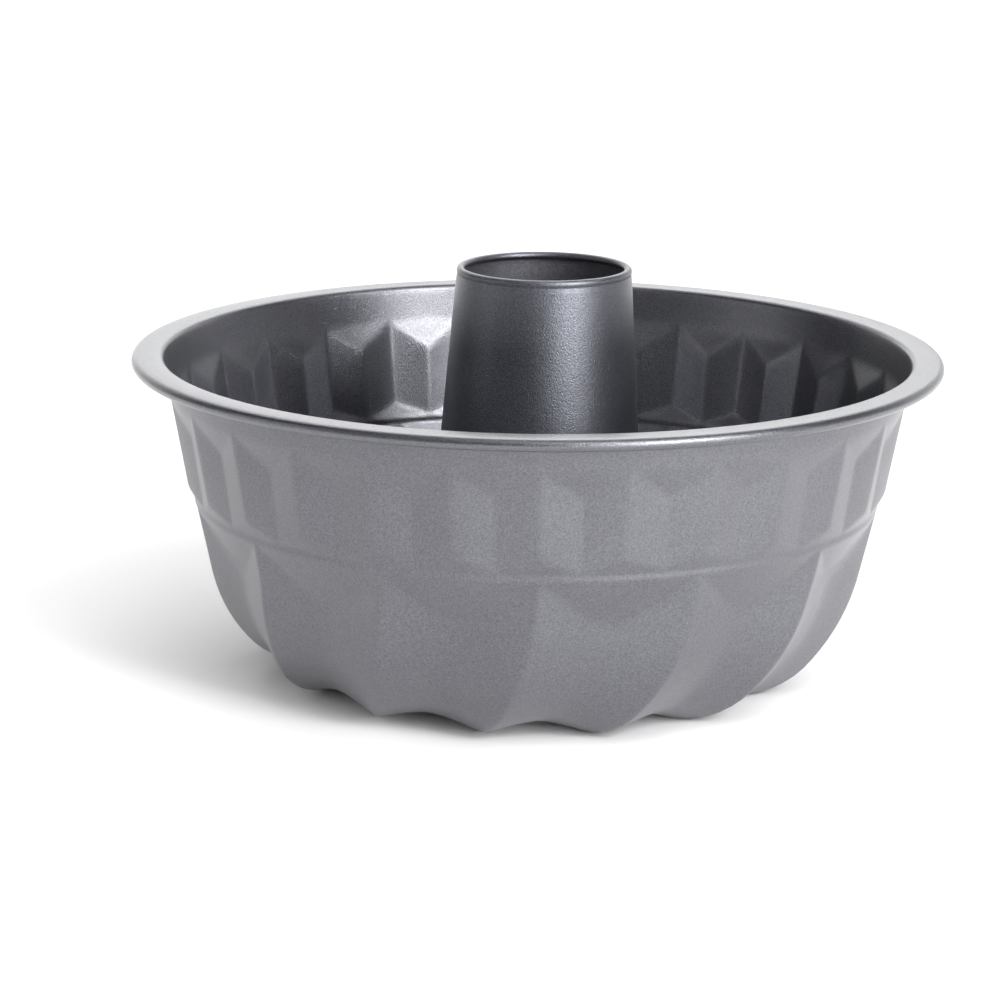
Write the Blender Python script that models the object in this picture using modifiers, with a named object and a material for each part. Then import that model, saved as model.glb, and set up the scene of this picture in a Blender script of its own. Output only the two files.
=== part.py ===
# Kugelhopf mould: a pressed sheet body with a curled rim and two rows of flutes,
# and a conical centre tube crimped into the hole in the body's floor.
# Metres, +Z up. The mould stands on the crests of its base at z = 0, centred on the Z axis.

import math

import bmesh
import bpy

MM = 0.001

# Overall sizes
RIM_RADIUS = 125.0 * MM
BODY_HEIGHT = 101.0 * MM
TUBE_RISE = 26.4 * MM
BODY_SHEET = 0.6 * MM
TUBE_SHEET = 0.6 * MM
FIT_GAP = 0.3 * MM

# Rim and plain neck, depths measured down from the top of the rim
CURL_RADIUS = 1.8 * MM
CURL_END = -150.0
RIM_WIDTH = 9.0 * MM
BEND_RADIUS = 1.2 * MM
WALL_ANGLE = math.radians(10.4)
NECK_DEPTH = 11.8 * MM

# Upper row: straight V-shaped flutes with a triangular facet at each end
UPPER_FLUTES = 28
UPPER_VERTEX_DEPTH = 20.0 * MM
UPPER_FLUTE_DEPTH = 3.1 * MM
CREST_END_DEPTH = 38.8 * MM
WAIST_DEPTH = 43.4 * MM
WAIST_INSET = 2.6 * MM
WAIST_LAND = 2.0 * MM
VALLEY_STEP = 0.6 * MM

# Lower row: scooped flutes that swirl as they run under the base
LOWER_FLUTES = 14
LOWER_FLUTE_DEPTH = 4.7 * MM
BASE_FLUTE_DEPTH = 3.8 * MM
FACET_SHARE = 0.77
SCOOP_ROUNDNESS = 0.6
CREST_WIDTH = 1.6 * MM
SWIRL = math.radians(14.6)
LOWER_WALL_ANGLE = math.radians(12.5)
SHOULDER_RADIUS = 62.0 * MM
SHOULDER_TURN = math.radians(27.5)
BASE_RADIUS = 26.0 * MM
CONTACT_LAND = 4.0 * MM

# Floor seat and centre tube
SEAT_HEIGHT = 9.0 * MM
SEAT_MARGIN = 3.0 * MM
SEAT_FILLET_SHARE = 0.32
HOLE_CLEARANCE = 0.5 * MM
TUBE_TOP_RADIUS = 26.8 * MM
TUBE_ANGLE = math.radians(4.3)
TUBE_ROLL_RADIUS = 1.2 * MM
TUBE_ROLL_PROUD = 0.1 * MM
TUBE_ROLL_END = 270.0
TUBE_BEAD_RADIUS = 1.3 * MM
CRIMP_BEND_RADIUS = 0.5 * MM
CRIMP_WIDTH = 4.4 * MM

# Facet counts and shading
ROUND_STEPS = 2 * UPPER_FLUTES
SCOOP_STEPS = 3
TUBE_STEPS = 36
CREASE_ANGLE = math.radians(12.0)
WELD_DISTANCE = 0.01 * MM

FRONT = -math.pi / 2
TUBE_TOP = BODY_HEIGHT + TUBE_RISE


def clear_scene():
    for item in list(bpy.data.objects):
        bpy.data.objects.remove(item, do_unlink=True)


def make_collection(name):
    collection = bpy.data.collections.new(name)
    bpy.context.scene.collection.children.link(collection)
    return collection


def make_material(name, color, roughness, metallic):
    material = bpy.data.materials.new(name)
    material.use_nodes = True
    shader = material.node_tree.nodes["Principled BSDF"]
    shader.inputs["Base Color"].default_value = (*color, 1.0)
    shader.inputs["Roughness"].default_value = roughness
    shader.inputs["Metallic"].default_value = metallic
    return material


def arc(center_r, center_z, radius, start, end, steps):
    """Points of an arc in the (radius, height) plane; angles in degrees from outward."""
    points = []
    for i in range(steps + 1):
        angle = math.radians(start + (end - start) * i / steps)
        points.append((center_r + radius * math.cos(angle), center_z + radius * math.sin(angle)))
    return points


# Body: the rim and the upper row of flutes

def wall_radius(depth):
    """Outside radius of the straight upper wall, along its crests."""
    return RIM_RADIUS - RIM_WIDTH - math.tan(WALL_ANGLE) * depth


def rim_profile():
    """Under face of the sheet: from the hidden end of the curl, round it, under the flat rim
    and down the neck to where the flutes start."""
    edge = arc(RIM_RADIUS - CURL_RADIUS, BODY_HEIGHT - CURL_RADIUS, CURL_RADIUS - BODY_SHEET,
               CURL_END, 90.0, 8)
    bend_depth = BODY_SHEET + BEND_RADIUS * (1.0 - math.sin(WALL_ANGLE))
    bend_r = wall_radius(bend_depth) + BEND_RADIUS * math.cos(WALL_ANGLE)
    bend = arc(bend_r, BODY_HEIGHT - BODY_SHEET - BEND_RADIUS, BEND_RADIUS,
               90.0, 180.0 - math.degrees(WALL_ANGLE), 3)
    neck_end = (wall_radius(NECK_DEPTH), BODY_HEIGHT - NECK_DEPTH)
    return edge + bend + [neck_end]


def waist_radius():
    return wall_radius(CREST_END_DEPTH) - WAIST_INSET


def ledge_radius(depth):
    """Radius of the sloped ledge between the ends of the crests and the waist land."""
    share = (depth - CREST_END_DEPTH) / (WAIST_DEPTH - CREST_END_DEPTH)
    return wall_radius(CREST_END_DEPTH) - WAIST_INSET * share


def valley_radius(depth):
    """Radius of the straight valley line, from the upper facet's tip down to the ledge."""
    valley_end = WAIST_DEPTH - VALLEY_STEP
    start = wall_radius(UPPER_VERTEX_DEPTH) - UPPER_FLUTE_DEPTH
    share = (depth - UPPER_VERTEX_DEPTH) / (valley_end - UPPER_VERTEX_DEPTH)
    return start + (ledge_radius(valley_end) - start) * share


def round_ring(radius, height):
    """A plain ring of (angle, radius, height, share), share running 0 at a crest to 1 at a valley."""
    return [(FRONT + math.tau * i / ROUND_STEPS, radius, height, i % 2) for i in range(ROUND_STEPS)]


def fluted_ring(crest, valley, depth):
    """A ring of the upper row that goes from crest to valley and back once a flute."""
    radii = (crest, valley)
    height = BODY_HEIGHT - depth
    return [(FRONT + math.tau * i / ROUND_STEPS, radii[i % 2], height, i % 2)
            for i in range(ROUND_STEPS)]


def upper_rings():
    valley_end = WAIST_DEPTH - VALLEY_STEP
    end_radius = ledge_radius(valley_end)
    return [
        fluted_ring(wall_radius(UPPER_VERTEX_DEPTH), valley_radius(UPPER_VERTEX_DEPTH),
                    UPPER_VERTEX_DEPTH),
        fluted_ring(wall_radius(CREST_END_DEPTH), valley_radius(CREST_END_DEPTH), CREST_END_DEPTH),
        fluted_ring(end_radius, end_radius, valley_end),
        round_ring(waist_radius(), BODY_HEIGHT - WAIST_DEPTH),
    ]


# Body: the lower row of flutes, the base and the seat

class Profile:
    """A meridian line walked from the waist down the crests and under the base to the seat.
    lean is its direction: 0 runs straight down, 90 degrees runs inward."""

    def __init__(self, radius, height, lean):
        self.radius = radius
        self.height = height
        self.lean = lean
        self.length = 0.0
        self.points = [(radius, height, lean, 0.0)]

    def add(self):
        self.points.append((self.radius, self.height, self.lean, self.length))

    def straight(self, stops):
        """Straight on, with a point at each of the given lengths from here."""
        start = (self.radius, self.height, self.length)
        for stop in stops:
            self.radius = start[0] - stop * math.sin(self.lean)
            self.height = start[1] - stop * math.cos(self.lean)
            self.length = start[2] + stop
            self.add()

    def turn(self, bend_radius, angle, steps):
        """An arc of the given radius; a negative angle bends the other way."""
        for _ in range(steps):
            before = self.lean
            self.lean += angle / steps
            signed = math.copysign(bend_radius, angle)
            self.radius -= signed * (math.cos(before) - math.cos(self.lean))
            self.height -= signed * (math.sin(self.lean) - math.sin(before))
            self.length += bend_radius * abs(angle) / steps
            self.add()


def scoop(share):
    """Cross-section of a scooped flute: 0 at the crest, 1 in the middle of the valley."""
    return (1.0 - SCOOP_ROUNDNESS) * share + SCOOP_ROUNDNESS * math.sin(share * math.pi / 2)


def tube_radius(height):
    return TUBE_TOP_RADIUS + math.tan(TUBE_ANGLE) * (TUBE_TOP - height)


def hole_radius():
    return tube_radius(SEAT_HEIGHT) + HOLE_CLEARANCE


def crimp_radius():
    return hole_radius() + CRIMP_WIDTH


def lower_profile():
    """The crest line of the lower row, and the lengths along it where the facets end and where
    it meets and leaves the ground. The facets take a share of the straight part."""
    top = BODY_HEIGHT - WAIST_DEPTH - WAIST_LAND
    line = Profile(waist_radius(), top, LOWER_WALL_ANGLE)
    shoulder_lean = LOWER_WALL_ANGLE + SHOULDER_TURN
    shoulder_drop = SHOULDER_RADIUS * (math.sin(shoulder_lean) - math.sin(LOWER_WALL_ANGLE))
    base_drop = BASE_RADIUS * (1.0 - math.sin(shoulder_lean))
    straight_length = (top - shoulder_drop - base_drop) / math.cos(LOWER_WALL_ANGLE)
    facet_end = FACET_SHARE * straight_length
    facet_stops = [facet_end * scoop(i / SCOOP_STEPS) for i in range(1, SCOOP_STEPS + 1)]
    line.straight(facet_stops + [straight_length])
    line.turn(SHOULDER_RADIUS, SHOULDER_TURN, 4)
    line.turn(BASE_RADIUS, math.pi / 2 - shoulder_lean, 4)
    contact_start = line.length
    line.straight([CONTACT_LAND])
    contact_end = line.length
    seat_width = line.radius - crimp_radius() - SEAT_MARGIN
    rise_angle = 2.0 * math.atan(SEAT_HEIGHT / seat_width)
    both_radii = seat_width / math.sin(rise_angle)
    line.turn(both_radii * (1.0 - SEAT_FILLET_SHARE), rise_angle, 3)
    line.turn(both_radii * SEAT_FILLET_SHARE, -rise_angle, 2)
    return line.points, facet_end, contact_start, contact_end


def flute_depth(length, facet_end, contact_start, contact_end, seat_start):
    """Depth of the scoops below the crest line, fading out towards the seat."""
    if length <= contact_start:
        share = max(0.0, (length - facet_end) / (contact_start - facet_end))
        return LOWER_FLUTE_DEPTH + (BASE_FLUTE_DEPTH - LOWER_FLUTE_DEPTH) * share
    if length <= contact_end:
        return BASE_FLUTE_DEPTH
    share = (length - contact_end) / (seat_start - contact_end)
    return BASE_FLUTE_DEPTH * 0.5 * (1.0 + math.cos(math.pi * share))


def swirl_angle(length, contact_start):
    """Turn of the crests about the axis: it grows with the square of the length to the ground,
    then goes on at the same rate."""
    share = length / contact_start
    if share <= 1.0:
        return SWIRL * share * share
    return SWIRL * (2.0 * share - 1.0)


def flute_columns(radius):
    """(angle, share) of the columns of one lower flute: a narrow flat crest, then the scoop."""
    half_pitch = math.pi / LOWER_FLUTES
    half_crest = 0.5 * CREST_WIDTH / radius
    sides = [(half_crest + (half_pitch - half_crest) * i / SCOOP_STEPS, i / SCOOP_STEPS)
             for i in range(SCOOP_STEPS + 1)]
    back = [(2.0 * half_pitch - angle, share) for angle, share in reversed(sides[1:-1])]
    return [(-half_crest, 0.0)] + sides + back


def lower_rings():
    points, facet_end, contact_start, contact_end = lower_profile()
    seat_start = points[-1][3]
    rings = []
    for radius, height, lean, length in points:
        full = flute_depth(length, facet_end, contact_start, contact_end, seat_start)
        facet = full * length / facet_end
        turned = FRONT - swirl_angle(length, contact_start)
        ring = []
        for flute in range(LOWER_FLUTES):
            for angle, share in flute_columns(radius):
                depth = min(full * scoop(share), facet)
                ring.append((turned + math.tau * flute / LOWER_FLUTES + angle,
                             radius - depth * math.cos(lean),
                             height + depth * math.sin(lean),
                             share))
        rings.append(ring)
    return rings


def hole_ring(swirl_ring):
    """The edge of the floor's hole, starting at the angle where the ring before it starts."""
    start = swirl_ring[0][0]
    return [(start + math.tau * i / ROUND_STEPS, hole_radius(), SEAT_HEIGHT, 0.0)
            for i in range(ROUND_STEPS)]


# Body: the loft through all rings

def ring_verts(mesh, ring):
    return [mesh.verts.new((r * math.cos(a), r * math.sin(a), z)) for a, r, z, _ in ring]


def loft_alike(mesh, upper, lower, shares, split):
    """Join two rings of the same count. A fluted quad is split from its upper corner nearer
    the crest to its lower corner nearer the valley, which is how the facets' edges run."""
    count = len(upper)
    for i in range(count):
        j = (i + 1) % count
        if not split:
            mesh.faces.new((upper[i], lower[i], lower[j], upper[j]))
        elif shares[i] <= shares[j]:
            mesh.faces.new((upper[i], lower[i], lower[j]))
            mesh.faces.new((upper[i], lower[j], upper[j]))
        else:
            mesh.faces.new((upper[i], lower[i], upper[j]))
            mesh.faces.new((lower[i], lower[j], upper[j]))


def loft_unlike(mesh, upper, upper_ring, lower, lower_ring):
    """Join two rings of different counts with triangles, taking the nearer angle each time."""
    i = 0
    j = 0
    while i < len(upper) or j < len(lower):
        next_i = upper_ring[i + 1][0] if i + 1 < len(upper) else upper_ring[0][0] + math.tau
        next_j = lower_ring[j + 1][0] if j + 1 < len(lower) else lower_ring[0][0] + math.tau
        a = upper[i % len(upper)]
        b = lower[j % len(lower)]
        if j == len(lower) or (i < len(upper) and next_i < next_j):
            mesh.faces.new((a, b, upper[(i + 1) % len(upper)]))
            i += 1
        else:
            mesh.faces.new((a, b, lower[(j + 1) % len(lower)]))
            j += 1


def mark_creases(mesh, round_faces):
    """Edges that fold by more than the crease angle stay sharp, except on the round rim."""
    for edge in mesh.edges:
        if len(edge.link_faces) < 2 or all(face in round_faces for face in edge.link_faces):
            continue
        edge.smooth = edge.calc_face_angle() < CREASE_ANGLE


def make_body(collection, material):
    rim = [round_ring(radius, height) for radius, height in rim_profile()]
    rings = rim + upper_rings() + lower_rings()
    rings.append(hole_ring(rings[-1]))
    mesh = bmesh.new()
    verts = [ring_verts(mesh, ring) for ring in rings]
    round_faces = set()
    for k in range(len(rings) - 1):
        if len(rings[k]) == len(rings[k + 1]):
            shares = [point[3] for point in rings[k]]
            loft_alike(mesh, verts[k], verts[k + 1], shares, k >= len(rim) - 1)
        else:
            loft_unlike(mesh, verts[k], rings[k], verts[k + 1], rings[k + 1])
        if k == len(rim) - 2:
            round_faces = set(mesh.faces)
    for face in mesh.faces:
        face.smooth = True
    mark_creases(mesh, round_faces)
    data = bpy.data.meshes.new("mould_body")
    mesh.to_mesh(data)
    mesh.free()
    data.materials.append(material)
    body = bpy.data.objects.new("mould_body", data)
    collection.objects.link(body)
    sheet = body.modifiers.new("sheet", "SOLIDIFY")
    sheet.thickness = BODY_SHEET
    sheet.offset = -1.0
    sheet.use_even_offset = True
    return body


# Centre tube

def tube_wall(height, out=0.0):
    return (tube_radius(height) + out, height)


def tube_profile():
    """Outer face of the tube: from the hidden end of the rolled top edge, over it, down the
    cone, round the bead above the floor, through the hole and out along the crimped flange."""
    roll_z = TUBE_TOP - TUBE_ROLL_RADIUS
    roll_r = tube_radius(roll_z) + TUBE_ROLL_PROUD - TUBE_ROLL_RADIUS
    meet = -math.degrees(math.acos(1.0 - TUBE_ROLL_PROUD / TUBE_ROLL_RADIUS))
    roll = arc(roll_r, roll_z, TUBE_ROLL_RADIUS, TUBE_ROLL_END, 0.0, 9)
    roll += arc(roll_r, roll_z, TUBE_ROLL_RADIUS, 0.0, meet, 2)[1:]
    bead_z = SEAT_HEIGHT + BODY_SHEET + FIT_GAP + TUBE_BEAD_RADIUS
    bead = []
    for r, z in arc(0.0, bead_z, TUBE_BEAD_RADIUS, 90.0, -90.0, 5):
        bead.append(tube_wall(z, out=r))
    flange_z = SEAT_HEIGHT - FIT_GAP
    bend_r = tube_radius(flange_z) + CRIMP_BEND_RADIUS
    bend = arc(bend_r, flange_z + CRIMP_BEND_RADIUS, CRIMP_BEND_RADIUS, 180.0, 270.0, 2)
    return roll + bead + bend + [(crimp_radius(), flange_z)]


def make_tube(collection, material):
    points = tube_profile()
    data = bpy.data.meshes.new("centre_tube")
    data.from_pydata([(r, 0.0, z) for r, z in points], [(i, i + 1) for i in range(len(points) - 1)], [])
    data.materials.append(material)
    tube = bpy.data.objects.new("centre_tube", data)
    collection.objects.link(tube)
    turned = tube.modifiers.new("turned", "SCREW")
    turned.axis = "Z"
    turned.angle = math.tau
    turned.steps = TUBE_STEPS
    turned.render_steps = TUBE_STEPS
    turned.use_merge_vertices = True
    turned.merge_threshold = WELD_DISTANCE
    turned.use_smooth_shade = True
    sheet = tube.modifiers.new("sheet", "SOLIDIFY")
    sheet.thickness = TUBE_SHEET
    sheet.offset = -1.0
    sheet.use_even_offset = True
    return tube


def main():
    clear_scene()
    collection = make_collection("kugelhopf_mould")
    coating = make_material("mould_body", (0.125, 0.13, 0.145), 0.36, 0.85)
    tube_coating = make_material("centre_tube", (0.115, 0.12, 0.135), 0.36, 0.85)
    make_body(collection, coating)
    make_tube(collection, tube_coating)


main()
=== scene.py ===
import math

import bpy
import numpy as np
from mathutils import Matrix, Vector


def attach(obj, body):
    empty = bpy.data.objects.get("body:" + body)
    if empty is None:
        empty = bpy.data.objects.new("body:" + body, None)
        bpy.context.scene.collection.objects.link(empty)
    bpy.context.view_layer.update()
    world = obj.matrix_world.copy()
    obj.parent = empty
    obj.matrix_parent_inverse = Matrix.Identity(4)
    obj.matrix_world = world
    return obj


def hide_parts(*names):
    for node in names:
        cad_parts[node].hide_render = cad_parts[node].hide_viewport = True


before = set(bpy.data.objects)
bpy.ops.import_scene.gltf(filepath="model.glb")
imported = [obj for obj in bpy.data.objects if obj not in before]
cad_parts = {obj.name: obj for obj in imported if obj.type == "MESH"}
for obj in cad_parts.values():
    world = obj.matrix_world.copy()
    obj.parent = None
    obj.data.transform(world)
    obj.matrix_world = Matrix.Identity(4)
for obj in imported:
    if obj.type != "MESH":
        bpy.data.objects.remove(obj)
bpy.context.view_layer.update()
print("frame loaded:", sorted(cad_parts))

millimetre = 0.001  # shapes are worked out in millimetres and put into the meshes in metres
frontAngle = -math.pi / 2  # the side of the mould that faces the camera


# Shared curve and surface maths

def softMax(a, b, width):
    # the larger of a and b; where they differ by less than width, a parabola joins them
    near = np.clip(width - np.abs(a - b), 0.0, None) / width
    return np.maximum(a, b) + 0.25 * width * near * near


def softMin(a, b, width):
    # the smaller of a and b, joined by the same parabola
    return -softMax(-a, -b, width)


def softFold(x, width):
    # |x| with its tip swapped for a parabola of the given half width, then shifted and stretched
    # so that 0 stays at 0 and 1 stays at 1
    x = np.abs(x)
    tip = x * x / (2.0 * width) + 0.5 * width
    return (np.where(x < width, tip, x) - 0.5 * width) / (1.0 - 0.5 * width)


def easedSteps(count, gather):
    # count steps from 0 to 1, x - gather / 2 pi * sin(2 pi x), closer together at both ends
    x = np.linspace(0.0, 1.0, count + 1)
    return x - gather / (2.0 * math.pi) * np.sin(2.0 * math.pi * x)


def rowsBetween(lineA, lineB, steps):
    # one row a step, each a blend of the two lines; the last row is left to the next block
    return lineA[None, :] + (lineB - lineA)[None, :] * steps[:-1, None]


def arcPoints(centreR, centreZ, radius, startDegrees, endDegrees, count):
    # circle arc in the (radius, height) plane, degrees counted from outward
    turn = np.radians(np.linspace(startDegrees, endDegrees, count + 1))
    return np.stack([centreR + radius * np.cos(turn), centreZ + radius * np.sin(turn)], 1)


def filletPoints(corners, radii, count):
    # a bent line: every inner corner is swapped for an arc of its radius that touches both sides
    corners = np.asarray(corners, float)
    parts = [corners[:1]]
    for before, here, after, radius in zip(corners, corners[1:], corners[2:], radii):
        u = (before - here) / np.linalg.norm(before - here)
        v = (after - here) / np.linalg.norm(after - here)
        half = 0.5 * math.acos(float(np.clip(u @ v, -1.0, 1.0)))
        middle = here + (u + v) / np.linalg.norm(u + v) * radius / math.sin(half)
        a = here + u * radius / math.tan(half) - middle
        b = here + v * radius / math.tan(half) - middle
        swing = math.atan2(a[0] * b[1] - a[1] * b[0], float(a @ b))
        turn = np.linspace(0.0, swing, count + 1)
        parts.append(middle + np.stack([a[0] * np.cos(turn) - a[1] * np.sin(turn),
                                        a[0] * np.sin(turn) + a[1] * np.cos(turn)], 1))
    parts.append(corners[-1:])
    return np.concatenate(parts)


def gridNormals(points):
    # unit cross product of the two grid directions; the columns close round the axis
    alongRows = np.gradient(points, axis=0)
    alongColumns = np.roll(points, -1, axis=1) - np.roll(points, 1, axis=1)
    normals = np.cross(alongRows, alongColumns)
    return normals / np.linalg.norm(normals, axis=2, keepdims=True)


def sheetPiece(name, radius, height, angle, thickness, sharpDegrees):
    # a sheet of metal: the given grid of (radius, height, angle) is its outside face, the inside
    # face is that grid moved back along its normals by the thickness, and both ends are joined,
    # so the whole skin is one grid that closes in both directions; the inside takes material 1
    outside = np.stack([radius * np.cos(angle), radius * np.sin(angle), height + 0.0 * angle], 2)
    inside = outside - thickness * gridNormals(outside)
    skin = np.concatenate([outside, inside[::-1]]) * millimetre
    rows, columns = skin.shape[:2]
    index = np.arange(rows * columns).reshape(rows, columns)
    below = np.roll(index, -1, axis=0)
    quads = np.stack([index, below, np.roll(below, -1, axis=1), np.roll(index, -1, axis=1)], 2)
    quads = quads.reshape(-1, 4)
    mesh = bpy.data.meshes.new(name)
    mesh.vertices.add(rows * columns)
    mesh.vertices.foreach_set("co", skin.astype(np.float32).ravel())
    mesh.loops.add(quads.size)
    mesh.loops.foreach_set("vertex_index", quads.astype(np.int32).ravel())
    mesh.polygons.add(len(quads))
    mesh.polygons.foreach_set("loop_start", np.arange(0, quads.size, 4, dtype=np.int32))
    mesh.polygons.foreach_set("use_smooth", np.ones(len(quads), bool))
    mesh.materials.append(None)
    mesh.materials.append(None)
    mesh.polygons.foreach_set("material_index", np.repeat([0, 1], len(quads) // 2).astype(np.int32))
    mesh.update(calc_edges=True)
    mesh.set_sharp_from_angle(angle=math.radians(sharpDegrees))
    mesh.validate()
    piece = bpy.data.objects.new(name, mesh)
    bpy.context.scene.collection.objects.link(piece)
    print(name, "has", rows, "rows,", columns, "columns and", 2 * len(quads), "triangles")
    return piece


# Pressed body: curled rim, neck, upper flutes, waist land, swirled lower flutes, base and seat

bodyValues = {
    "rimRadius": 125.0,
    "height": 101.0,
    "sheet": 0.6,
    "curlRadius": 1.8,
    "curlEnd": -150.0,
    "rimWidth": 9.0,
    "bendRadius": 1.2,
    "wallAngle": 10.4,
    "neckDepth": 11.8,
    "upperVertexDepth": 20.0,
    "upperFluteDepth": 2.2,
    "crestEndDepth": 38.8,
    "waistDepth": 43.4,
    "waistInset": 2.6,
    "waistLand": 2.0,
    "valleyStep": 0.6,
    "lowerFlutes": 14,
    "lowerFluteDepth": 4.7,
    "baseFluteDepth": 3.8,
    "facetShare": 0.77,
    "scoopRoundness": 0.6,
    "swirl": 14.6,
    "lowerWallAngle": 12.5,
    "shoulderRadius": 62.0,
    "shoulderTurn": 27.5,
    "baseRadius": 26.0,
    "contactLand": 4.0,
    "seatHeight": 9.0,
    "seatStart": 43.6,
    "seatFilletShare": 0.32,
    "holeRadius": 36.2,
    "upperFoldWidth": 0.09,      # half width of the rounded crests and valleys, share of a half flute
    "lowerFoldMillimetres": 0.9,
    "lowerValleyWidth": 0.16,
    "creaseDepth": 0.5,          # how far two facets part before their shared crease ends
    "scoopCreaseDepth": 0.3,
    "waistSoftness": 0.45,
    "neckRows": (3.2, 6.5, 9.6, 10.7, 11.3, 11.9),   # depths below the rim
    "footRow": 0.7,              # first row under the neck's foot
    "facetStart": 1.9,           # least depth of the row along the V creases, under the foot
    "scoopStart": 2.2,           # least length of the row along the lower creases
    "rowSoftness": 1.0,
    "belowFacet": 7.0,           # where the rows are level again, under the lower facets
    "rows": {"curl": 14, "bend": 5, "facet": 7, "flute": 12, "ledge": 5, "waist": 3,
             "lowerFacet": 9, "crease": 7, "scoop": 14, "land": 2, "rise": 10},
}


def fluteColumns(flutes):
    # places round the body in lower flutes, with more columns near every crest and valley
    quarter = np.array([0.0, 0.014, 0.032, 0.065, 0.125, 0.185, 0.218, 0.236])
    return (np.arange(4 * flutes)[:, None] * 0.25 + quarter[None, :]).ravel()


def upperShare(places):
    # 0 on the crests of the upper row, 1 in its valleys; two upper flutes to a lower one
    return 2.0 * np.abs(2.0 * places - np.round(2.0 * places))


def lowerShare(places):
    # the same for the lower row
    return 2.0 * np.abs(places - np.round(places))


def upperWall(depth, share, v):
    # radius at a depth below the rim: the straight crest wall less the flute's depth, which is
    # the smaller of the V flute and the top facet, and then the larger of that and the ledge
    lean = math.tan(math.radians(v["wallAngle"]))
    top = v["rimRadius"] - v["rimWidth"]
    wall = top - lean * depth
    inset = v["waistInset"] / (v["waistDepth"] - v["crestEndDepth"])
    ledge = (inset - lean) * (depth - v["crestEndDepth"])
    valleyEnd = v["waistDepth"] - v["valleyStep"]
    run = (depth - v["upperVertexDepth"]) / (valleyEnd - v["upperVertexDepth"])
    endDepth = (inset - lean) * (valleyEnd - v["crestEndDepth"])
    flute = v["upperFluteDepth"] + (endDepth - v["upperFluteDepth"]) * run
    fold = 1.0 - softFold(1.0 - softFold(share, v["upperFoldWidth"]), v["upperFoldWidth"])
    facet = v["upperFluteDepth"] * (depth - v["neckDepth"]) / (v["upperVertexDepth"] - v["neckDepth"])
    facet = softMax(facet, 0.0, v["creaseDepth"])
    crease = np.clip(facet, 0.001, v["creaseDepth"])
    pressed = softMin(flute * fold, facet, crease)
    pressed = softMax(pressed, ledge, v["creaseDepth"])
    waist = top - lean * v["crestEndDepth"] - v["waistInset"]
    return softMax(wall - pressed, waist, v["waistSoftness"])


def lowerLine(v):
    # crest line of the lower row from the middle of the waist land: its lean is a bent line over
    # its length, and the line is the running sum of that direction
    waist = v["rimRadius"] - v["rimWidth"] - v["waistInset"]
    waist -= math.tan(math.radians(v["wallAngle"])) * v["crestEndDepth"]
    top = v["height"] - v["waistDepth"] - v["waistLand"]
    wall = math.radians(v["lowerWallAngle"])
    shoulder = wall + math.radians(v["shoulderTurn"])
    straight = top - v["shoulderRadius"] * (math.sin(shoulder) - math.sin(wall))
    straight = (straight - v["baseRadius"] * (1.0 - math.sin(shoulder))) / math.cos(wall)
    shoulderEnd = straight + v["shoulderRadius"] * (shoulder - wall)
    contact = shoulderEnd + v["baseRadius"] * (math.pi / 2 - shoulder)
    contactRadius = waist - straight * math.sin(wall)
    contactRadius -= v["shoulderRadius"] * (math.cos(wall) - math.cos(shoulder))
    contactRadius -= v["baseRadius"] * math.cos(shoulder)
    contactEnd = contact + v["contactLand"]
    width = contactRadius - v["contactLand"] - v["seatStart"]
    rise = 2.0 * math.atan(v["seatHeight"] / width)
    both = width / math.sin(rise)
    riseEnd = contactEnd + both * (1.0 - v["seatFilletShare"]) * rise
    seat = riseEnd + both * v["seatFilletShare"] * rise
    level = math.pi / 2
    stops = np.array([
        [-1.0, 0.0], [-0.7, 0.0], [0.7, wall], [straight, wall], [shoulderEnd, shoulder],
        [contact, level], [contactEnd, level], [riseEnd, level + rise], [seat, level],
        [seat + 20.0, level],
    ])
    length = np.linspace(-1.0, seat + 12.0, 6001)
    lean = np.interp(length, stops[:, 0], stops[:, 1])
    step = length[1] - length[0]
    inward = np.concatenate([[0.0], np.cumsum(np.sin(0.5 * (lean[1:] + lean[:-1]))) * step])
    down = np.concatenate([[0.0], np.cumsum(np.cos(0.5 * (lean[1:] + lean[:-1]))) * step])
    height = top + 1.0 - down
    height -= np.interp(contact, length, height) * np.clip(length / contact, 0.0, 1.0)
    marks = {"facet": v["facetShare"] * straight, "contact": contact, "contactEnd": contactEnd,
             "seat": seat}
    return length, waist - inward, height, lean, marks


def lowerWall(length, share, line, v):
    # the crest line pressed in along its normal: the scoop's depth is the smaller of its cross
    # section, part straight and part sine, and the facet that grows from the waist; it fades out
    # under the base as half a cosine. The crests turn with the square of the length
    lengths, radii, heights, leans, marks = line
    radius = np.interp(length, lengths, radii)
    height = np.interp(length, lengths, heights)
    lean = np.interp(length, lengths, leans)
    taper = np.clip((length - marks["facet"]) / (marks["contact"] - marks["facet"]), 0.0, 1.0)
    full = v["lowerFluteDepth"] + (v["baseFluteDepth"] - v["lowerFluteDepth"]) * taper
    fade = (length - marks["contactEnd"]) / (marks["seat"] - marks["contactEnd"])
    full = full * 0.5 * (1.0 + np.cos(math.pi * np.clip(fade, 0.0, 1.0)))
    foldWidth = v["lowerFoldMillimetres"] * v["lowerFlutes"] / (math.pi * radius)
    fold = 1.0 - softFold(1.0 - softFold(share, foldWidth), v["lowerValleyWidth"])
    scoop = (1.0 - v["scoopRoundness"]) * fold + v["scoopRoundness"] * np.sin(0.5 * math.pi * fold)
    facet = softMax(full * length / marks["facet"], 0.0, v["scoopCreaseDepth"])
    crease = np.clip(facet, 0.001, v["creaseDepth"])
    pressed = softMin(full * scoop, facet, crease)
    along = np.clip(length / marks["contact"], 0.0, None)
    turned = math.radians(v["swirl"]) * np.where(along < 1.0, along * along, 2.0 * along - 1.0)
    return radius - pressed * np.cos(lean), height + pressed * np.sin(lean), turned


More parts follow.
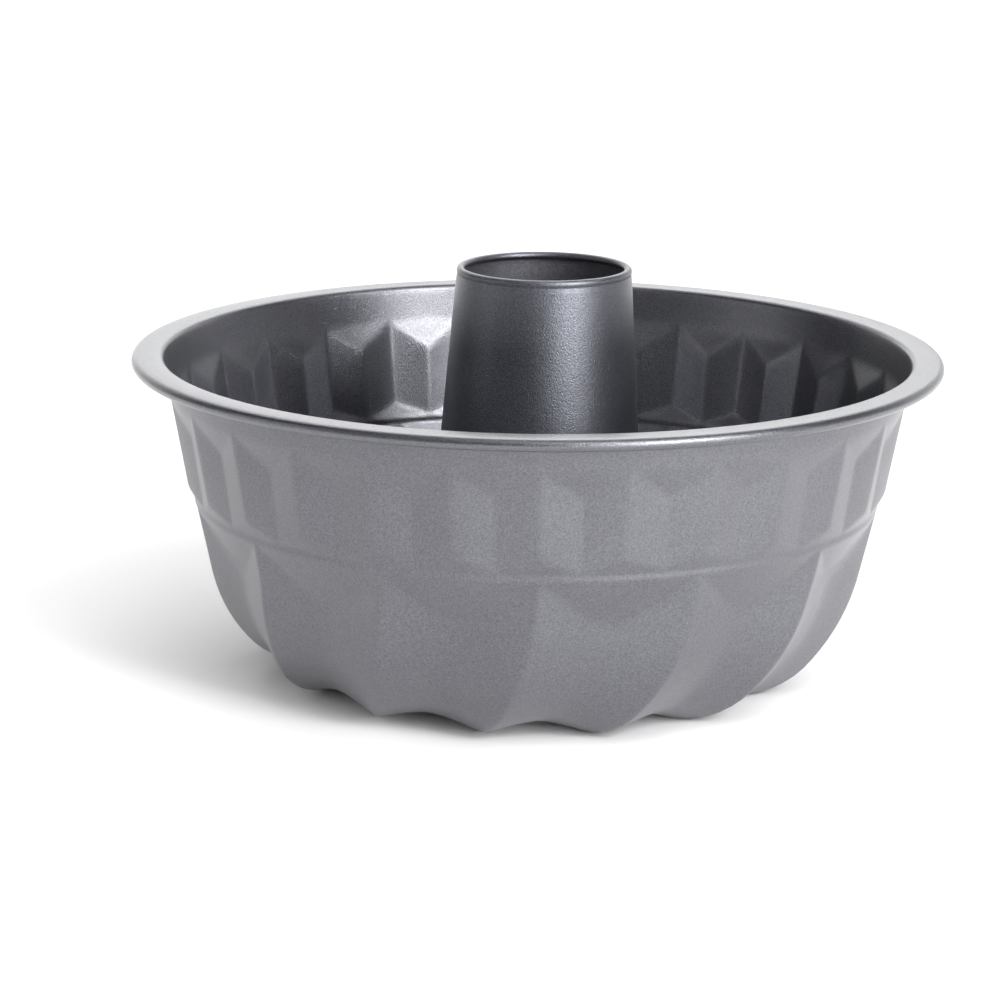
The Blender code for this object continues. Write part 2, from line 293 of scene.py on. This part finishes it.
def makeBody(v):
    # one grid of (radius, height, angle): the rim's profile turned round the axis, then the upper
    # wall and the lower wall, each a function of the way down and the place round the body
    rows = v["rows"]
    places = fluteColumns(v["lowerFlutes"])
    upper = upperShare(places)
    lower = lowerShare(places)
    flat = np.zeros_like(places)
    turn = places * 2.0 * math.pi / v["lowerFlutes"]
    # under face of the rim: from the hidden end of the curl round to the foot of the neck
    lean = math.radians(v["wallAngle"])
    curl = arcPoints(v["rimRadius"] - v["curlRadius"], v["height"] - v["curlRadius"],
                     v["curlRadius"] - v["sheet"], v["curlEnd"], 90.0, rows["curl"])
    underRim = v["height"] - v["sheet"]
    wallTop = v["rimRadius"] - v["rimWidth"]
    corner = (wallTop - math.tan(lean) * v["sheet"], underRim)
    neckStart = v["neckRows"][0]
    neck = (wallTop - math.tan(lean) * neckStart, v["height"] - neckStart)
    bend = filletPoints([(wallTop + 5.0, underRim), corner, neck], [v["bendRadius"]], rows["bend"])
    rim = np.concatenate([curl, bend])
    rimR = np.repeat(rim[:-1, :1], len(places), axis=1)
    rimZ = np.repeat(rim[:-1, 1:], len(places), axis=1)
    # upper row: lines of the grid follow the neck's foot, the V creases and the ledge
    foot = flat + v["neckDepth"] + v["footRow"]
    vee = softMax((v["upperVertexDepth"] - v["neckDepth"]) * upper, v["facetStart"], v["rowSoftness"])
    vee = v["neckDepth"] + vee
    ledge = v["crestEndDepth"] + (v["waistDepth"] - v["crestEndDepth"] - 1.0) * upper
    waist = flat + v["waistDepth"]
    middle = waist + 0.5 * v["waistLand"]
    plain = np.array(v["neckRows"])[:, None] + flat[None, :]
    depth = np.concatenate([
        plain,
        rowsBetween(foot, vee, easedSteps(rows["facet"], 0.5)),
        rowsBetween(vee, ledge, easedSteps(rows["flute"], 0.86)),
        rowsBetween(ledge, waist, easedSteps(rows["ledge"], 0.3)),
        rowsBetween(waist, middle, easedSteps(rows["waist"], 0.0)),
    ])
    upperR = upperWall(depth, upper[None, :], v)
    upperZ = v["height"] - depth
    # lower row: lines follow the facets' curved creases, then the shoulder, base and seat
    line = lowerLine(v)
    marks = line[4]
    scoop = (1.0 - v["scoopRoundness"]) * lower + v["scoopRoundness"] * np.sin(0.5 * math.pi * lower)
    vertex = softMax(marks["facet"] * scoop, v["scoopStart"], v["rowSoftness"])
    below = flat + marks["facet"] + v["belowFacet"]
    contact = flat + marks["contact"]
    contactEnd = flat + marks["contactEnd"]
    seat = flat + marks["seat"]
    seatWidth = v["seatStart"] - v["holeRadius"]
    length = np.concatenate([
        np.array([-1.0, -0.6, -0.2, 0.2, 0.6])[:, None] + flat[None, :],
        rowsBetween(flat + 1.0, vertex, easedSteps(rows["lowerFacet"], 0.6)),
        rowsBetween(vertex, below, easedSteps(rows["crease"], 0.6)),
        rowsBetween(below, contact, easedSteps(rows["scoop"], 0.0)),
        rowsBetween(contact, contactEnd, easedSteps(rows["land"], 0.0)),
        rowsBetween(contactEnd, seat, easedSteps(rows["rise"], 0.0)),
        seat[None, :],
        seat[None, :] + 0.5 * seatWidth,
        seat[None, :] + seatWidth,
    ])
    lowerR, lowerZ, turned = lowerWall(length, lower[None, :], line, v)
    radius = np.concatenate([rimR, upperR, lowerR])
    height = np.concatenate([rimZ, upperZ, lowerZ])
    still = np.zeros((len(rimR) + len(upperR), len(places)))
    angle = frontAngle + turn[None, :] - np.concatenate([still, turned])
    return sheetPiece("bodySheet", radius, height, angle, v["sheet"], 50.0)


# Centre tube: rolled top edge, cone, bead above the floor and crimped flange under it

tubeValues = {
    "top": 127.4,
    "topRadius": 26.8,
    "coneAngle": 4.3,
    "lean": 0.87,                # the real tube leans this many degrees to the right of its seat
    "sheet": 0.6,
    "rollRadius": 1.2,
    "rollProud": 0.1,
    "neckInset": 0.09,
    "beadProud": 1.3,
    "beadBottom": 9.92,
    "flangeTop": 8.7,
    "flangeRadius": 40.6,
    "neckDepths": (0.25, 1.1, 2.6),          # under the roll's middle: its start, bottom and end
    "beadCorners": (0.2, 0.3),               # over and under the bead's upper corner
    "fillets": (0.5, 1.2, 2.5, 0.4, 0.9, 1.1, 0.12, 0.5),   # one for each corner, the last is the bend
    "coneRows": 16,
    "columns": 224,
}


def makeTube(v):
    # one profile turned round the axis: an arc for the roll, then a bent line with a fillet at
    # every corner for the neck, the cone, the bead and the flange
    def wall(height, proud=0.0):
        lean = math.tan(math.radians(v["coneAngle"]))
        return (v["topRadius"] + lean * (v["top"] - height) + proud, height)

    rollZ = v["top"] - v["rollRadius"]
    rollR = wall(rollZ)[0] + v["rollProud"] - v["rollRadius"]
    roll = arcPoints(rollR, rollZ, v["rollRadius"], 270.0, 0.0, 22)
    beadTop = v["beadBottom"] + 2.0 * v["beadProud"]
    neckStart, neckBottom, neckEnd = v["neckDepths"]
    overBead, underBead = v["beadCorners"]
    corners = [
        roll[-1],
        (roll[-1][0], rollZ - neckStart),
        wall(rollZ - neckBottom, -v["neckInset"]),
        wall(rollZ - neckEnd),
        wall(beadTop + overBead),
        wall(beadTop - underBead, v["beadProud"]),
        wall(v["beadBottom"], v["beadProud"]),
        wall(v["beadBottom"]),
        wall(v["flangeTop"]),
        (v["flangeRadius"], v["flangeTop"]),
    ]
    bent = filletPoints(corners, v["fillets"], 4)
    profile = np.concatenate([roll, bent[1:]])
    cone = np.argmax(-np.diff(profile[:, 1]))  # the one long step gets rows of its own
    extra = np.linspace(0.0, 1.0, v["coneRows"] + 2)[1:-1, None]
    rows = profile[cone] + (profile[cone + 1] - profile[cone]) * extra
    profile = np.concatenate([profile[:cone + 1], rows, profile[cone + 1:]])
    turn = 2.0 * math.pi * np.arange(v["columns"]) / v["columns"]
    radius = np.repeat(profile[:, :1], v["columns"], axis=1)
    height = np.repeat(profile[:, 1:], v["columns"], axis=1)
    angle = np.repeat(turn[None, :], len(profile), axis=0)
    piece = sheetPiece("tubeSheet", radius, height, angle, v["sheet"], 50.0)
    # the lean is a shear: x moves by tan(lean) for each metre above the bead
    spots = np.empty(3 * len(piece.data.vertices), np.float32)
    piece.data.vertices.foreach_get("co", spots)
    spots = spots.reshape(-1, 3)
    rise = np.maximum(spots[:, 2] - beadTop * millimetre, 0.0)
    spots[:, 0] += math.tan(math.radians(v["lean"])) * rise
    piece.data.vertices.foreach_set("co", spots.ravel())
    piece.data.update()
    return piece


# Coating: dark grey non-stick enamel with a fine metal fleck

coatingValues = {
    "outsideCoating": {"color": (0.145, 0.145, 0.163), "roughness": 0.62, "metallic": 0.9,
                       "coatWeight": 0.8, "coatRoughness": 0.3, "contrast": 0.3,
                       "fleckPerMetre": 1900.0, "grainDepth": 0.00005},
    "insideCoating": {"color": (0.119, 0.121, 0.137), "roughness": 0.3, "metallic": 0.9,
                      "coatWeight": 0.7, "coatRoughness": 0.3, "contrast": 0.26,
                      "fleckPerMetre": 2300.0, "grainDepth": 0.00014},
    "tubeCoating": {"color": (0.107, 0.111, 0.131), "roughness": 0.38, "metallic": 0.9,
                    "coatWeight": 0.7, "coatRoughness": 0.4, "contrast": 0.34,
                    "fleckPerMetre": 2200.0, "grainDepth": 0.00013},
}


fleckValues = {"detail": 1.5, "roughness": 0.7, "mottlePerMetre": 60.0, "mottleDetail": 3.0,
               "mottle": 0.25, "roughnessSpread": 0.03}


def newNode(tree, kind, **settings):
    node = tree.nodes.new(kind)
    for name, value in settings.items():
        setattr(node, name, value)
    return node


def buildFleckGroup(v):
    # fine fleck on object coordinates: a small noise that lightens and darkens the colour, moves
    # the roughness and lifts single grains, over a slow mottle of the sprayed coat
    group = bpy.data.node_groups.new("metal fleck", "ShaderNodeTree")
    for name, kind in (("Color", "NodeSocketColor"), ("Roughness", "NodeSocketFloat"),
                       ("Fleck scale", "NodeSocketFloat"), ("Contrast", "NodeSocketFloat")):
        group.interface.new_socket(name=name, in_out="INPUT", socket_type=kind)
    for name, kind in (("Color", "NodeSocketColor"), ("Roughness", "NodeSocketFloat"),
                       ("Height", "NodeSocketFloat")):
        group.interface.new_socket(name=name, in_out="OUTPUT", socket_type=kind)
    link = group.links.new
    given = newNode(group, "NodeGroupInput")
    result = newNode(group, "NodeGroupOutput")
    place = newNode(group, "ShaderNodeTexCoord")
    grain = newNode(group, "ShaderNodeTexNoise", noise_dimensions="3D")
    grain.inputs["Detail"].default_value = v["detail"]
    grain.inputs["Roughness"].default_value = v["roughness"]
    link(place.outputs["Object"], grain.inputs["Vector"])
    link(given.outputs["Fleck scale"], grain.inputs["Scale"])
    mottle = newNode(group, "ShaderNodeTexNoise", noise_dimensions="3D")
    mottle.inputs["Scale"].default_value = v["mottlePerMetre"]
    mottle.inputs["Detail"].default_value = v["mottleDetail"]
    link(place.outputs["Object"], mottle.inputs["Vector"])
    spread = newNode(group, "ShaderNodeMapRange")
    spread.inputs["From Min"].default_value = 0.3
    spread.inputs["From Max"].default_value = 0.7
    spread.inputs["To Min"].default_value = -1.0
    spread.inputs["To Max"].default_value = 1.0
    link(grain.outputs["Fac"], spread.inputs["Value"])
    slow = newNode(group, "ShaderNodeMapRange")
    slow.inputs["To Min"].default_value = -v["mottle"]
    slow.inputs["To Max"].default_value = v["mottle"]
    link(mottle.outputs["Fac"], slow.inputs["Value"])
    both = newNode(group, "ShaderNodeMath", operation="ADD")
    link(spread.outputs["Result"], both.inputs[0])
    link(slow.outputs["Result"], both.inputs[1])
    gain = newNode(group, "ShaderNodeMath", operation="MULTIPLY_ADD")
    gain.inputs[2].default_value = 1.0
    link(both.outputs["Value"], gain.inputs[0])
    link(given.outputs["Contrast"], gain.inputs[1])
    tint = newNode(group, "ShaderNodeVectorMath", operation="SCALE")
    link(given.outputs["Color"], tint.inputs[0])
    link(gain.outputs["Value"], tint.inputs["Scale"])
    link(tint.outputs["Vector"], result.inputs["Color"])
    rough = newNode(group, "ShaderNodeMath", operation="MULTIPLY_ADD")
    rough.inputs[1].default_value = v["roughnessSpread"]
    link(spread.outputs["Result"], rough.inputs[0])
    link(given.outputs["Roughness"], rough.inputs[2])
    link(rough.outputs["Value"], result.inputs["Roughness"])
    link(grain.outputs["Fac"], result.inputs["Height"])
    return group


def coatingMaterial(name, group, v):
    # a metallic base under a clear coat; the fleck gives colour, roughness and the bump's height
    material = bpy.data.materials.new(name)
    material.use_nodes = True
    tree = material.node_tree
    shader = tree.nodes["Principled BSDF"]
    fleck = newNode(tree, "ShaderNodeGroup", node_tree=group)
    fleck.inputs["Color"].default_value = (*v["color"], 1.0)
    fleck.inputs["Roughness"].default_value = v["roughness"]
    fleck.inputs["Fleck scale"].default_value = v["fleckPerMetre"]
    fleck.inputs["Contrast"].default_value = v["contrast"]
    bump = newNode(tree, "ShaderNodeBump")
    bump.inputs["Distance"].default_value = v["grainDepth"]
    tree.links.new(fleck.outputs["Height"], bump.inputs["Height"])
    tree.links.new(bump.outputs["Normal"], shader.inputs["Normal"])
    tree.links.new(fleck.outputs["Color"], shader.inputs["Base Color"])
    tree.links.new(fleck.outputs["Roughness"], shader.inputs["Roughness"])
    shader.inputs["Metallic"].default_value = v["metallic"]
    shader.inputs["Coat Weight"].default_value = v["coatWeight"]
    shader.inputs["Coat Roughness"].default_value = v["coatRoughness"]
    return material


body = makeBody(bodyValues)
tube = makeTube(tubeValues)
fleckGroup = buildFleckGroup(fleckValues)
coatings = {name: coatingMaterial(name, fleckGroup, v) for name, v in coatingValues.items()}
body.data.materials[0] = coatings["outsideCoating"]
body.data.materials[1] = coatings["insideCoating"]
tube.data.materials[0] = coatings["tubeCoating"]
tube.data.materials[1] = coatings["outsideCoating"]  # the hollow side
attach(body, "root")
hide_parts("mould_body")
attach(tube, "root")
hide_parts("centre_tube")
print("mould built")


# Studio: a white floor and backdrop, a tall strip of key lamps in front on the right, softer lamps
# above and behind, weak fills at the sides and in front on the left, and a dark room

studioValues = {
    "floorSize": 8.0,
    "floorWhite": 0.88,
    "glowNear": 0.0,             # the floor's own white for camera, mirror and glass rays
    "glowFar": 0.3,
    "glowStart": 0.45,           # metres from the mould's axis
    "glowEnd": 1.6,
    "backdropPlace": 2.6,
    "backdropHeight": 2.4,
    "backdropWhite": 0.8,
    "roomLight": 0.64,
    "roomMirrored": 0.04,
}

lampTarget = (0.0, 0.0, 0.06)    # metres, about the middle of the mould

lampValues = {                   # azimuth in degrees to the right of the camera, seen from above
    "keyFoot": {"azimuth": 42.0, "elevation": 4.0, "distance": 1.8, "width": 0.9, "height": 0.25,
                "radiance": 4.4},
    "keyLow": {"azimuth": 37.0, "elevation": 14.0, "distance": 1.8, "width": 0.6, "height": 0.32,
               "radiance": 20.5},
    "keyMiddle": {"azimuth": 41.0, "elevation": 24.0, "distance": 1.8, "width": 0.4,
                  "height": 0.32, "radiance": 24.9},
    "keyTop": {"azimuth": 39.0, "elevation": 34.0, "distance": 1.8, "width": 0.6, "height": 0.32,
               "radiance": 26.6},
    "keyEdge": {"azimuth": 21.0, "elevation": 9.0, "distance": 1.8, "width": 0.5, "height": 0.5,
                "radiance": 4.0},
    "topLamp": {"azimuth": 10.0, "elevation": 54.0, "distance": 1.8, "width": 0.8, "height": 0.6,
                "radiance": 2.7},
    "topRight": {"azimuth": 55.0, "elevation": 54.0, "distance": 1.8, "width": 0.9, "height": 0.6,
                 "radiance": 2.9},
    "backTop": {"azimuth": 180.0, "elevation": 52.0, "distance": 2.0, "width": 2.4, "height": 0.8,
                "radiance": 2.5},
    "backLamp": {"azimuth": 175.0, "elevation": 28.0, "distance": 2.1, "width": 0.8, "height": 0.7,
                 "radiance": 1.6},
    "backLow": {"azimuth": -165.0, "elevation": 7.0, "distance": 2.1, "width": 0.7, "height": 0.4,
                "radiance": 0.8},
    "roof": {"azimuth": 0.0, "elevation": 82.0, "distance": 1.7, "width": 1.1, "height": 1.0,
             "radiance": 1.1},
    "frontLeft": {"azimuth": -45.0, "elevation": 32.0, "distance": 1.8, "width": 1.3, "height": 1.0,
                  "radiance": 0.4},
    "leftFill": {"azimuth": -78.0, "elevation": 15.0, "distance": 1.8, "width": 0.8, "height": 0.7,
                 "radiance": 1.2},
    "rightFill": {"azimuth": 105.0, "elevation": 12.0, "distance": 1.8, "width": 2.0,
                  "height": 0.5, "radiance": 0.5},
}


def shownMask(tree):
    # 1 for rays from the camera and for mirror and glass rays, 0 for rays that carry light
    path = newNode(tree, "ShaderNodeLightPath")
    both = newNode(tree, "ShaderNodeMath", operation="MAXIMUM")
    allThree = newNode(tree, "ShaderNodeMath", operation="MAXIMUM")
    tree.links.new(path.outputs["Is Camera Ray"], both.inputs[0])
    tree.links.new(path.outputs["Is Glossy Ray"], both.inputs[1])
    tree.links.new(both.outputs["Value"], allThree.inputs[0])
    tree.links.new(path.outputs["Is Transmission Ray"], allThree.inputs[1])
    return allThree.outputs["Value"]


def whiteMaterial(name, white, near, far, start, end):
    # a matt white that also glows for the rays of the shown mask; the glow goes from near to far
    # between two distances from the mould's axis
    material = bpy.data.materials.new(name)
    material.use_nodes = True
    tree = material.node_tree
    tree.nodes.clear()
    place = newNode(tree, "ShaderNodeTexCoord")
    flat = newNode(tree, "ShaderNodeVectorMath", operation="MULTIPLY")
    flat.inputs[1].default_value = (1.0, 1.0, 0.0)
    away = newNode(tree, "ShaderNodeVectorMath", operation="LENGTH")
    ramp = newNode(tree, "ShaderNodeMapRange", interpolation_type="SMOOTHSTEP")
    for socket, value in (("From Min", start), ("From Max", end), ("To Min", near), ("To Max", far)):
        ramp.inputs[socket].default_value = value
    strength = newNode(tree, "ShaderNodeMath", operation="MULTIPLY")
    glow = newNode(tree, "ShaderNodeEmission")
    diffuse = newNode(tree, "ShaderNodeBsdfDiffuse")
    diffuse.inputs["Color"].default_value = (white, white, white, 1.0)
    both = newNode(tree, "ShaderNodeAddShader")
    output = newNode(tree, "ShaderNodeOutputMaterial")
    link = tree.links.new
    link(place.outputs["Object"], flat.inputs[0])
    link(flat.outputs["Vector"], away.inputs[0])
    link(away.outputs["Value"], ramp.inputs["Value"])
    link(ramp.outputs["Result"], strength.inputs[0])
    link(shownMask(tree), strength.inputs[1])
    link(strength.outputs["Value"], glow.inputs["Strength"])
    link(diffuse.outputs["BSDF"], both.inputs[0])
    link(glow.outputs["Emission"], both.inputs[1])
    link(both.outputs["Shader"], output.inputs["Surface"])
    return material


def stagePlane(name, corners, material):
    mesh = bpy.data.meshes.new(name)
    mesh.from_pydata(corners, [], [(0, 1, 2, 3)])
    mesh.materials.append(material)
    plane = bpy.data.objects.new(name, mesh)
    bpy.context.scene.collection.objects.link(plane)


def makeStage(v):
    half, back, top = 0.5 * v["floorSize"], v["backdropPlace"], v["backdropHeight"]
    floorWhite = whiteMaterial("whiteFloor", v["floorWhite"], v["glowNear"], v["glowFar"],
                               v["glowStart"], v["glowEnd"])
    backWhite = whiteMaterial("whiteBackdrop", v["backdropWhite"], v["glowFar"], v["glowFar"],
                              v["glowStart"], v["glowEnd"])
    stagePlane("floor", [(-half, -half, 0), (half, -half, 0), (half, half, 0), (-half, half, 0)],
               floorWhite)
    stagePlane("backdrop", [(-half, back, 0), (half, back, 0), (half, back, top), (-half, back, top)],
               backWhite)


def makeRoom(v):
    # the room is dark for mirror rays, a soft sky for the rays that light matt surfaces, and
    # white for the camera
    world = bpy.data.worlds.new("room")
    bpy.context.scene.world = world
    world.use_nodes = True
    tree = world.node_tree
    path = newNode(tree, "ShaderNodeLightPath")
    sky = newNode(tree, "ShaderNodeMapRange")
    sky.inputs["To Min"].default_value = v["roomMirrored"]
    sky.inputs["To Max"].default_value = v["roomLight"]
    seen = newNode(tree, "ShaderNodeMath", operation="MAXIMUM")
    tree.links.new(path.outputs["Is Diffuse Ray"], sky.inputs["Value"])
    tree.links.new(sky.outputs["Result"], seen.inputs[0])
    tree.links.new(path.outputs["Is Camera Ray"], seen.inputs[1])
    tree.links.new(seen.outputs["Value"], tree.nodes["Background"].inputs["Strength"])
    tree.nodes["Background"].inputs["Color"].default_value = (1.0, 1.0, 1.0, 1.0)


def softLamp(name, v, target):
    # a rectangular area lamp that looks at the target from its direction; its power is
    # pi * radiance * area
    turn, rise = math.radians(v["azimuth"]), math.radians(v["elevation"])
    away = Vector((math.sin(turn) * math.cos(rise), -math.cos(turn) * math.cos(rise), math.sin(rise)))
    data = bpy.data.lights.new(name, "AREA")
    data.shape = "RECTANGLE"
    data.size = v["width"]
    data.size_y = v["height"]
    data.energy = math.pi * v["radiance"] * v["width"] * v["height"]
    lamp = bpy.data.objects.new(name, data)
    lamp.location = Vector(target) + away * v["distance"]
    lamp.rotation_euler = away.to_track_quat("Z", "Y").to_euler()
    lamp.visible_camera = False
    bpy.context.scene.collection.objects.link(lamp)


# Camera, fitted to the rim and the flutes of the real mould

cameraValues = {
    "distance": 1.0288,          # metres from the middle of the rim's plane
    "elevation": 11.41,
    "roll": 0.75,
    "orbit": -0.65,              # the real one is turned a little against the CAD
    "focalPixels": 3322.0,
    "rimCentrePixel": (537.6, 350.0),
    "imagePixels": 1000.0,
}


def makeCamera(v):
    # the camera looks at the rim's middle, is rolled, and is then swung so that the middle falls
    # on its pixel
    rise, roll, orbit = (math.radians(v[name]) for name in ("elevation", "roll", "orbit"))
    aligned = np.array([[1.0, 0.0, 0.0],
                        [0.0, math.sin(rise), math.cos(rise)],
                        [0.0, math.cos(rise), -math.sin(rise)]])
    rolled = np.array([[math.cos(roll), math.sin(roll), 0.0],
                       [-math.sin(roll), math.cos(roll), 0.0],
                       [0.0, 0.0, 1.0]])
    half = 0.5 * v["imagePixels"]
    x, y = v["rimCentrePixel"]
    aim = np.array([(x - half) / v["focalPixels"], (half - y) / v["focalPixels"], 1.0])
    aim /= np.linalg.norm(aim)
    axis = np.cross([0.0, 0.0, 1.0], aim)
    cross = np.array([[0.0, -axis[2], axis[1]], [axis[2], 0.0, -axis[0]], [-axis[1], axis[0], 0.0]])
    swung = np.eye(3) + cross + cross @ cross / (1.0 + aim[2])
    right, up, forward = swung @ rolled @ aligned
    place = np.array([0.0, -v["distance"] * math.cos(rise),
                      bodyValues["height"] * millimetre + v["distance"] * math.sin(rise)])
    matrix = Matrix([(right[i], up[i], -forward[i], place[i]) for i in range(3)] + [(0, 0, 0, 1)])
    data = bpy.data.cameras.new("camera")
    data.sensor_width = 36.0
    data.lens = 36.0 * v["focalPixels"] / v["imagePixels"]
    camera = bpy.data.objects.new("camera", data)
    camera.matrix_world = Matrix.Rotation(orbit, 4, "Z") @ matrix
    bpy.context.scene.collection.objects.link(camera)
    bpy.context.scene.camera = camera


makeStage(studioValues)
makeRoom(studioValues)
for lampName, lamp in lampValues.items():
    softLamp(lampName, lamp, lampTarget)
makeCamera(cameraValues)
bpy.context.scene.view_settings.view_transform = "Standard"
print("studio and camera placed")
